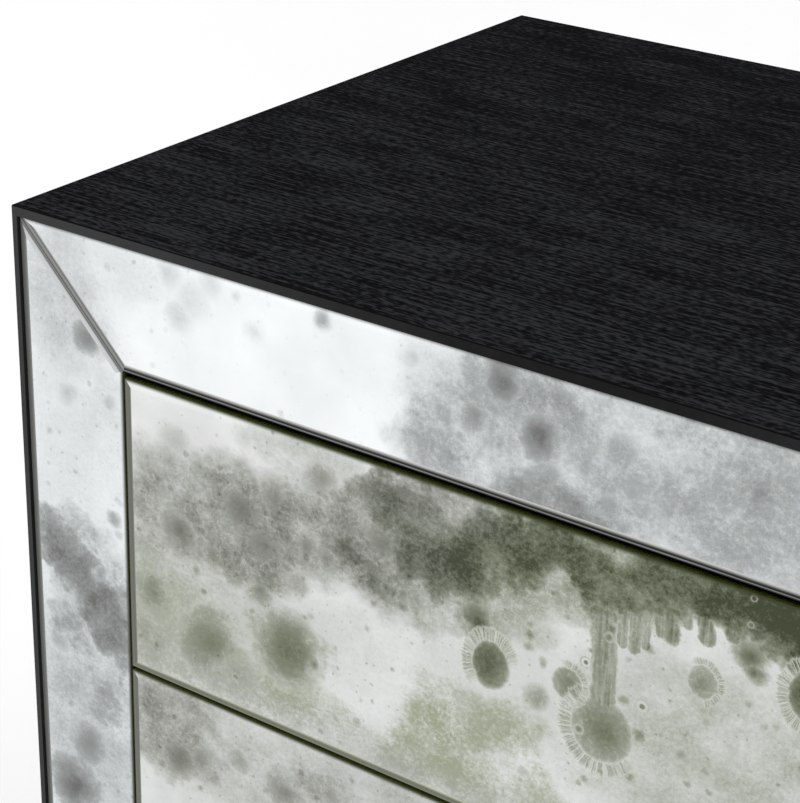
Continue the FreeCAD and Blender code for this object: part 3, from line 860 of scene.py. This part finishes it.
pane_spots = (
    # Upper drawer
    ((-186, 461), 23.0, 0.70), ((-140, 476), 22.0, 0.78), ((-171, 451), 16.0, 0.50),
    ((-222, 477), 15.0, 0.66), ((-167, 541), 16.0, 0.72), ((-148, 552), 13.0, 0.62),
    ((-155, 526), 20.0, 0.65), ((-205, 517), 14.0, 0.72), ((-122, 572), 12.0, 0.54),
    ((-193, 555), 9.0, 0.44), ((-207, 564), 11.0, 0.28), ((-185, 511), 11.0, 0.62),
    ((-156, 502), 10.0, 0.66), ((-135, 513), 8.0, 0.46), ((-130, 534), 9.0, 0.62), ((-118, 532), 9.0, 0.60),
    ((-106, 549), 14.0, 0.58), ((-88, 550), 13.0, 0.66), ((-76, 578), 14.0, 0.60),
    ((-220, 538), 13.0, 0.46), ((-165, 580), 8.0, 0.22), ((-95, 504), 4.0, 0.34), ((-36, 529), 9.5, 1.00),
    ((92, 560), 8.0, 0.82), ((94, 553), 6.0, 0.80), ((-10, 532), 4.0, 0.64), ((-10, 527), 3.4, 0.48),
    ((37, 518), 3.4, 0.50), ((43, 481), 3.8, 0.56), ((-4, 502), 6.5, 0.50), ((66, 502), 6.0, 0.48),
    ((93, 538), 4.0, 0.42), ((101, 530), 3.4, 0.38), ((106, 532), 3.4, 0.38), ((79, 503), 3.8, 0.34),
    ((-9, 462), 3.0, 0.30), ((44, 532), 4.0, 0.28), ((60, 516), 4.0, 0.30), ((150, 500), 10.0, 0.60),
    # Middle drawer
    ((-208, 386), 16.0, 0.70), ((-195, 390), 12.0, 0.58), ((-220, 415), 12.0, 0.46),
    ((-169, 401), 9.0, 0.46), ((-141, 394), 14.0, 0.64), ((-114, 404), 10.0, 0.50), ((-90, 370), 9.0, 0.60),
    ((20, 300), 12.0, 0.68), ((180, 380), 9.0, 0.60), ((90, 290), 7.0, 0.60),
    # Lower drawer
    ((-30, 160), 11.0, 0.66), ((-210, 230), 9.0, 0.60), ((210, 250), 8.0, 0.60),
)
pane_bursts = (
    # Upper drawer
    ((-29, 510), (11.5, 14.5), 0.88, 120, 0.86), ((28, 499), (16.5, 17.5), 1.0, 225, 0.64),
    ((118, 551), (11.0, 14.0), 0.9, 180, 0.90), ((10, 515), (8.2, 9.0), 1.0, 0, 0.62),
    ((72, 540), (7.6, 9.0), 1.0, 20, 0.54),
    # Middle drawer
    ((-100, 300), (12.0, 13.0), 0.9, 90, 0.85),
    # Lower drawer
    ((70, 155), (13.0, 12.0), 1.0, 200, 0.75),
)
pane_bubbles = (
    # Upper drawer
    ((17, 495), 3.2), ((46, 518), 3.2), ((28, 545), 3.0), ((18, 529), 2.6), ((90, 574), 1.8),
    ((90, 586), 1.8),
    # Middle drawer
    ((-70, 350), 3.0),
    # Lower drawer
    ((130, 250), 3.2),
)
pane_runs = (
    # Upper drawer
    ((27, 515), (23, 580), 6.2, 0.52), ((34, 545), (33, 574), 2.6, 0.46), ((40, 544), (39, 580), 3.0, 0.50),
    ((45, 547), (43, 576), 2.2, 0.44), ((51, 556), (46, 580), 2.4, 0.56), ((56, 556), (46, 586), 4.2, 0.58),
    ((63, 564), (57, 586), 2.4, 0.50), ((72, 561), (65, 584), 3.6, 0.62), ((84, 568), (78, 588), 5.0, 0.66),
    # Middle drawer
    ((128, 306), (130, 342), 4.0, 0.55), ((146, 314), (146, 344), 3.0, 0.55),
    # Lower drawer
    ((-128, 158), (-130, 202), 6.0, 0.50),
)
pane_silver = antique_silver("antique_panes", warm_silver, olive_stain, olive_edge, 1.0,
                             pane_clouds, pane_spots, pane_greys, pane_blooms, pane_bursts, pane_bubbles,
                             pane_runs)
edge_olive = glass_edge()
# The bevels facing left or down, and the mitres, are painted in bands of painted shade and reflection with
# painted highlight lines.
strip_painted_shade = painted_light_bevel("strip_bevel_painted_shade", (0.97, 1.0, 0.95), (0.0, 0.33), (0.12, 0.21), (0.3, 0.17),
                          (0.9, 0.19), (1.0, 0.20))
pane_painted_shade = painted_light_bevel("pane_bevel_painted_shade", (0.95, 1.0, 0.83), (0.0, 0.26), (0.12, 0.17), (0.3, 0.13),
                         (0.8, 0.15), (0.9, 0.12), (1.0, 0.06))
strip_under_painted_light = painted_light_bevel("strip_under_bevel_painted_light", (1.0, 1.0, 0.97), (0.0, 0.62), (0.12, 0.54), (0.24, 0.34),
                           (0.36, 0.16), (0.46, 0.05), (0.56, 0.004), (0.68, 0.01), (0.78, 0.24),
                           (0.84, 0.18), (0.9, 0.01))
pane_under_painted_light = painted_light_bevel("pane_under_bevel_painted_light", (0.93, 1.0, 0.74), (0.0, 0.55), (0.1, 0.45), (0.2, 0.36),
                          (0.3, 0.21), (0.42, 0.17), (0.7, 0.155), (0.8, 0.22), (0.92, 0.17), (1.0, 0.10))
stile_mitre_painted_light = painted_light_bevel("stile_mitre_bevel_painted_light", (0.97, 1.0, 1.0), (0.0, 0.60), (0.50, 0.57), (0.62, 0.36),
                           (0.72, 0.13), (0.85, 0.20), (1.0, 0.26))
rail_mitre_painted_light = painted_light_bevel("rail_mitre_bevel_painted_light", (0.98, 1.0, 0.95), (0.0, 0.50), (0.16, 0.34), (0.28, 0.13),
                          (0.40, 0.15), (0.55, 0.24), (0.70, 0.30), (0.84, 0.18), (1.0, 0.24))
strip_mitre_painted_light = {"top": rail_mitre_painted_light, "bottom": rail_mitre_painted_light, "left": stile_mitre_painted_light, "right": stile_mitre_painted_light}
bevel_tilt = 0.05


def glass_face(normal, centre):
    """Silver on the flat face and lit bevels, then edges, and the other bevels and mitres in painted shade.
    """
    if normal.y > -0.5:
        return 1
    if abs(normal.x) > bevel_tilt and abs(normal.z) > bevel_tilt:
        return 4
    if normal.x < -bevel_tilt:
        return 2
    return 3 if normal.z < -bevel_tilt else 0


for piece, mitre_painted_light in strip_mitre_painted_light.items():
    dress(f"mirror_strip_{piece}", border_silver, edge_olive, strip_painted_shade, strip_under_painted_light, mitre_painted_light,
          choose=glass_face)
for drawer in drawers:
    dress(f"{drawer}_drawer_mirror", pane_silver, edge_olive, pane_painted_shade, pane_under_painted_light, choose=glass_face)

# Studio
# A plain pale floor under soft light: a pale surround, a large lamp in front on the left, which lights the
# floor that the mirrors see, and a weaker one on the right.


def seen_rays(shade):
    """1 where something is seen, straight or in a mirror, and 0 where it only lights other things."""
    rays = shade.node("LightPath").socket.node.outputs
    camera_ray, glossy_ray, clear_ray = (
        Shade(shade.tree, rays[way]) for way in ("Is Camera Ray", "Is Glossy Ray", "Is Transmission Ray"))
    return camera_ray | glossy_ray | clear_ray


def floor_finish():
    """Pale matt floor that reads as white where nothing shades it."""
    finish, place = new_finish("studio_floor")
    cloud = place.noise(place, 900.0, 3.0)
    surface(finish, {
        "Base Color": cloud.ramp((0.3, (0.86, 0.86, 0.86)), (0.7, (0.89, 0.89, 0.89))),
        "Roughness": 0.9,
        "Specular IOR Level": 0.1,
        "Emission Color": seen_rays(place).mix((0.0, 0.0, 0.0, 1.0), (0.20, 0.20, 0.20, 1.0)),
        "Emission Strength": 1.0,
    })
    return finish


floor_size = 30.0
floor_mesh = bpy.data.meshes.new("studio_floor")
corners = [(x * floor_size, y * floor_size, 0.0) for x, y in ((-1, -1), (1, -1), (1, 1), (-1, 1))]
floor_mesh.from_pydata(corners, [], [(0, 1, 2, 3)])
floor_mesh.materials.append(floor_finish())
floor = bpy.data.objects.new("studio_floor", floor_mesh)
bpy.context.scene.collection.objects.link(floor)

world = bpy.data.worlds.new("studio")
world.use_nodes = True
surround = world.node_tree.nodes["Background"]
surround.inputs["Color"].default_value = (1.0, 1.0, 1.0, 1.0)
surround_light, surround_seen = 0.85, 1.0
sight = Shade(world.node_tree)
sight.feed(surround.inputs["Strength"], seen_rays(sight).line(surround_seen - surround_light, surround_light))
bpy.context.scene.world = world


def soft_lamp(name, place, aim, size, power):
    """Square softbox that points at a spot."""
    data = bpy.data.lights.new(name, "AREA")
    data.energy = power
    data.size = size
    lamp = bpy.data.objects.new(name, data)
    lamp.location = place
    lamp.rotation_euler = (Vector(aim) - Vector(place)).to_track_quat("-Z", "Y").to_euler()
    bpy.context.scene.collection.objects.link(lamp)


soft_lamp("key_softbox", (-2.4, -2.6, 2.8), (-0.8, -1.0, 0.0), 1.8, 30.0)
soft_lamp("fill_softbox", (2.6, -1.6, 2.4), (0.0, 0.0, 0.4), 2.0, 9.0)

# Camera
# Above and to the right of the front, aimed at its left end, where the top, the border and the upper drawer
# meet.
camera_place = Vector((0.3737, -0.9058, 1.0041))
camera_azimuth, camera_elevation, camera_roll = 33.88, 25.10, 1.924
focal_pixels, picture_height, sensor = 2105.9, 803, 36.0
camera_data = bpy.data.cameras.new("camera")
camera_data.sensor_width = sensor
camera_data.lens = focal_pixels * sensor / picture_height
camera = bpy.data.objects.new("camera", camera_data)
camera.location = camera_place
turn = Matrix.Rotation(math.radians(camera_azimuth), 4, "Z")
tilt = Matrix.Rotation(math.radians(90 - camera_elevation), 4, "X")
roll = Matrix.Rotation(math.radians(camera_roll), 4, "Z")
camera.rotation_euler = (turn @ tilt @ roll).to_euler()
bpy.context.scene.collection.objects.link(camera)
bpy.context.scene.camera = camera
bpy.context.scene.view_settings.view_transform = "Standard"
